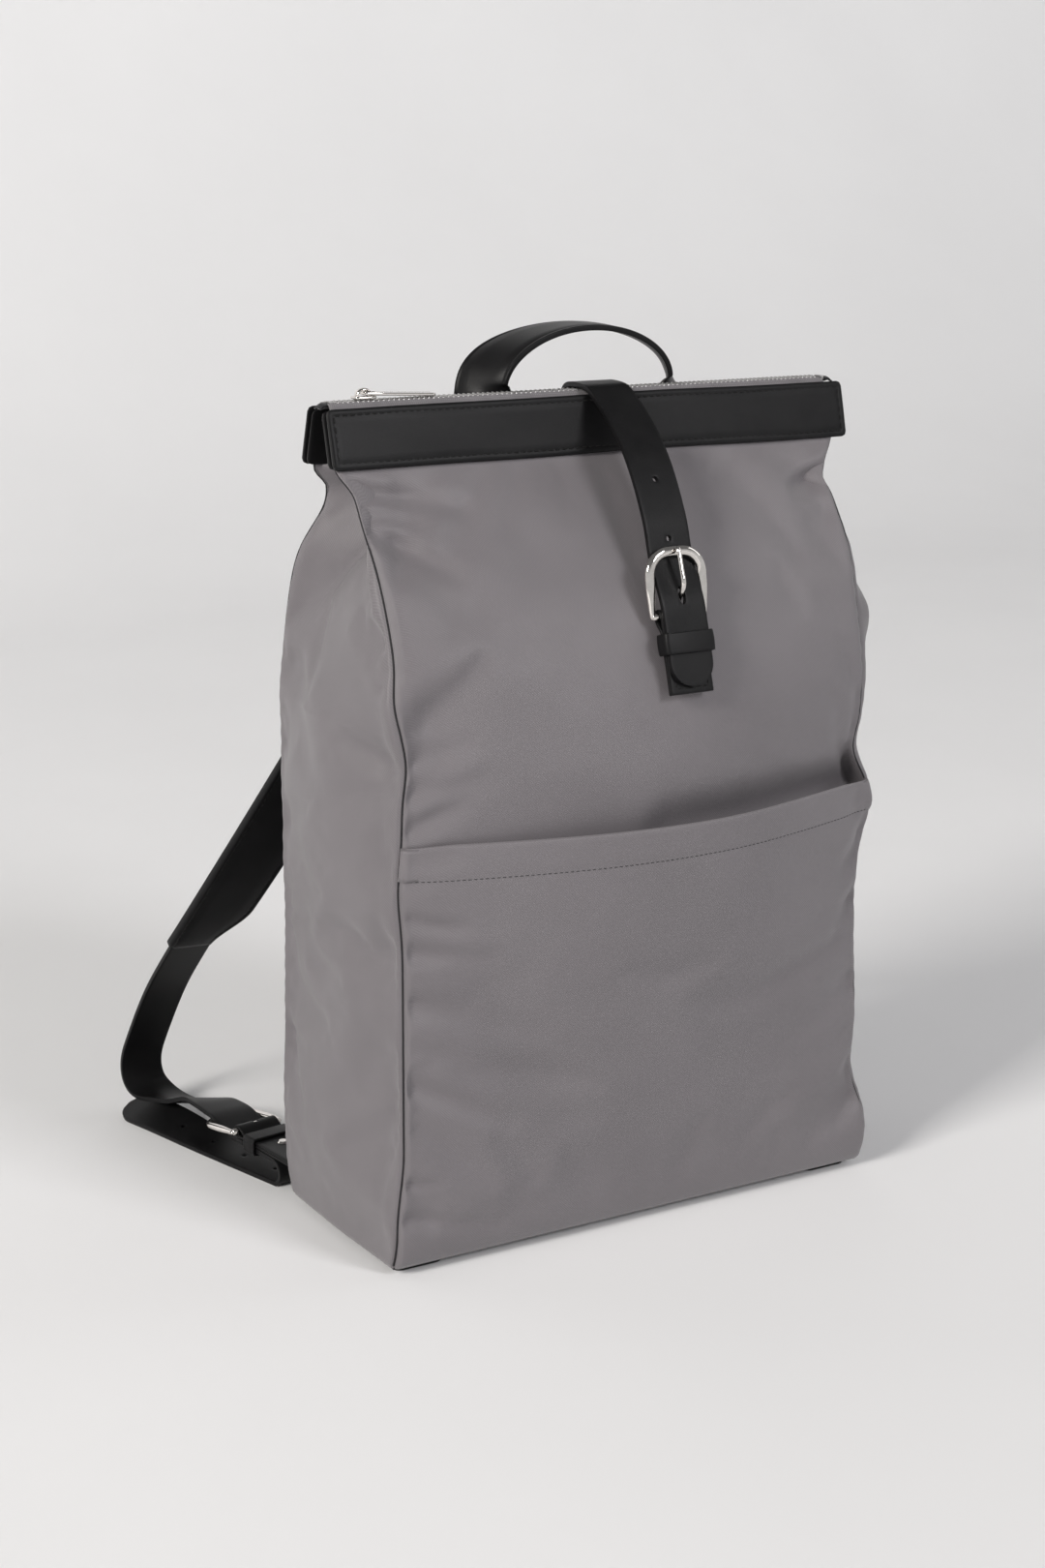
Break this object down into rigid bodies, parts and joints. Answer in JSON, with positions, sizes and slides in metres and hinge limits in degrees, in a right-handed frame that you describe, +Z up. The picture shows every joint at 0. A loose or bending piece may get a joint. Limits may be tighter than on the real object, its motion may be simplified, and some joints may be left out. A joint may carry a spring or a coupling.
{
  "type": "daypack",
  "caption": "Slim zip-top daypack with leather top bands, buckled closure strap, carry handle, open front pocket and buckled shoulder straps.",
  "frame": {"origin": "on the floor under the middle of the base", "axes": "+Z up, front panel towards -Y, +X to the right in the front view"},
  "size_m": [0.3764, 0.318, 0.4709],
  "materials": {
    "shell_cloth": "fine grey twill with a slight sheen",
    "board": "plain stiff board",
    "foam": "closed cell foam",
    "lining_cloth": "plain black weave",
    "foot_rubber": "matte",
    "black_leather": "smooth semi-matte with painted edges",
    "zip_tape": "woven tape",
    "zip_end": "turned tape end",
    "nickel": "polished"
  },
  "bodies": {
    "bag": {"front_panel": "shell_cloth", "back_panel": "shell_cloth", "left_gusset": "shell_cloth", "right_gusset": "shell_cloth", "base_panel": "shell_cloth", "front_pocket": "shell_cloth", "base_board": "board", "back_foam": "foam", "lining": "lining_cloth", "device_sleeve": "lining_cloth", "base_feet": "foot_rubber", "front_band": "black_leather", "front_band_facing": "black_leather", "rear_band": "black_leather", "rear_band_facing": "black_leather", "closure_strap_rear": "black_leather", "handle_ends": "black_leather", "zip_tape_front": "zip_tape", "zip_tape_rear": "zip_tape", "zip_ends": "zip_end", "zip_teeth_front": "nickel", "zip_teeth_rear": "nickel", "zip_stops": "nickel", "snap_socket": "nickel", "left_strap_upper": "black_leather", "left_strap_lower": "black_leather", "left_strap_tab": "black_leather", "left_strap_keeper": "black_leather", "left_tab_rivet": "nickel", "right_strap_upper": "black_leather", "right_strap_lower": "black_leather", "right_strap_tab": "black_leather", "right_strap_keeper": "black_leather", "right_tab_rivet": "nickel"},
    "closure_flap": {"closure_strap_front": "black_leather", "closure_tab": "black_leather", "closure_keeper": "black_leather", "snap_stud": "nickel"},
    "closure_frame": {"closure_buckle": "nickel"},
    "closure_tongue": {"closure_prong": "nickel"},
    "slider": {"zip_slider": "nickel"},
    "pull": {"zip_pull": "nickel"},
    "handle": {"carry_handle": "black_leather"},
    "left_frame": {"left_strap_buckle": "nickel"},
    "left_tongue": {"left_strap_prong": "nickel"},
    "right_frame": {"right_strap_buckle": "nickel"},
    "right_tongue": {"right_strap_prong": "nickel"}
  },
  "joints": [
    {"name": "zip_slide", "type": "slide", "parent": "bag", "child": "slider", "axis": [1, 0, 0], "range_m": [0, 0.075]},
    {"name": "zip_pull_swing", "type": "hinge", "parent": "slider", "child": "pull", "pos_m": [-0.1296, 0.0045, 0.44265], "axis": [0, -1, 0], "range_deg": [0, 165]},
    {"name": "closure_lift", "type": "hinge", "parent": "bag", "child": "closure_flap", "pos_m": [0.005, -0.0067, 0.4419], "axis": [-1, 0, 0], "range_deg": [0, 110]},
    {"name": "closure_buckle_swing", "type": "hinge", "parent": "closure_flap", "child": "closure_frame", "pos_m": [0.005, -0.07618, 0.33336], "axis": [1, 0, 0], "range_deg": [0, 5]},
    {"name": "closure_prong_swing", "type": "hinge", "parent": "closure_frame", "child": "closure_tongue", "pos_m": [0.005, -0.07618, 0.33336], "axis": [1, 0, 0], "range_deg": [0, 3]},
    {"name": "handle_fold", "type": "hinge", "parent": "bag", "child": "handle", "pos_m": [0.0064, 0.0195, 0.438], "axis": [-1, 0, 0], "range_deg": [0, 65], "stiffness_Nm_per_rad": 0.03},
    {"name": "left_buckle_swing", "type": "hinge", "parent": "bag", "child": "left_frame", "pos_m": [-0.1446, 0.1182, 0.02], "axis": [-0.9907, -0.1357, 0], "range_deg": [0, 5]},
    {"name": "left_prong_swing", "type": "hinge", "parent": "left_frame", "child": "left_tongue", "pos_m": [-0.1446, 0.1182, 0.02], "axis": [-0.9907, -0.1357, 0], "range_deg": [0, 3]},
    {"name": "right_buckle_swing", "type": "hinge", "parent": "bag", "child": "right_frame", "pos_m": [0.1446, 0.1182, 0.02], "axis": [-0.9907, 0.1357, 0], "range_deg": [0, 5]},
    {"name": "right_prong_swing", "type": "hinge", "parent": "right_frame", "child": "right_tongue", "pos_m": [0.1446, 0.1182, 0.02], "axis": [-0.9907, 0.1357, 0], "range_deg": [0, 3]}
  ]
}
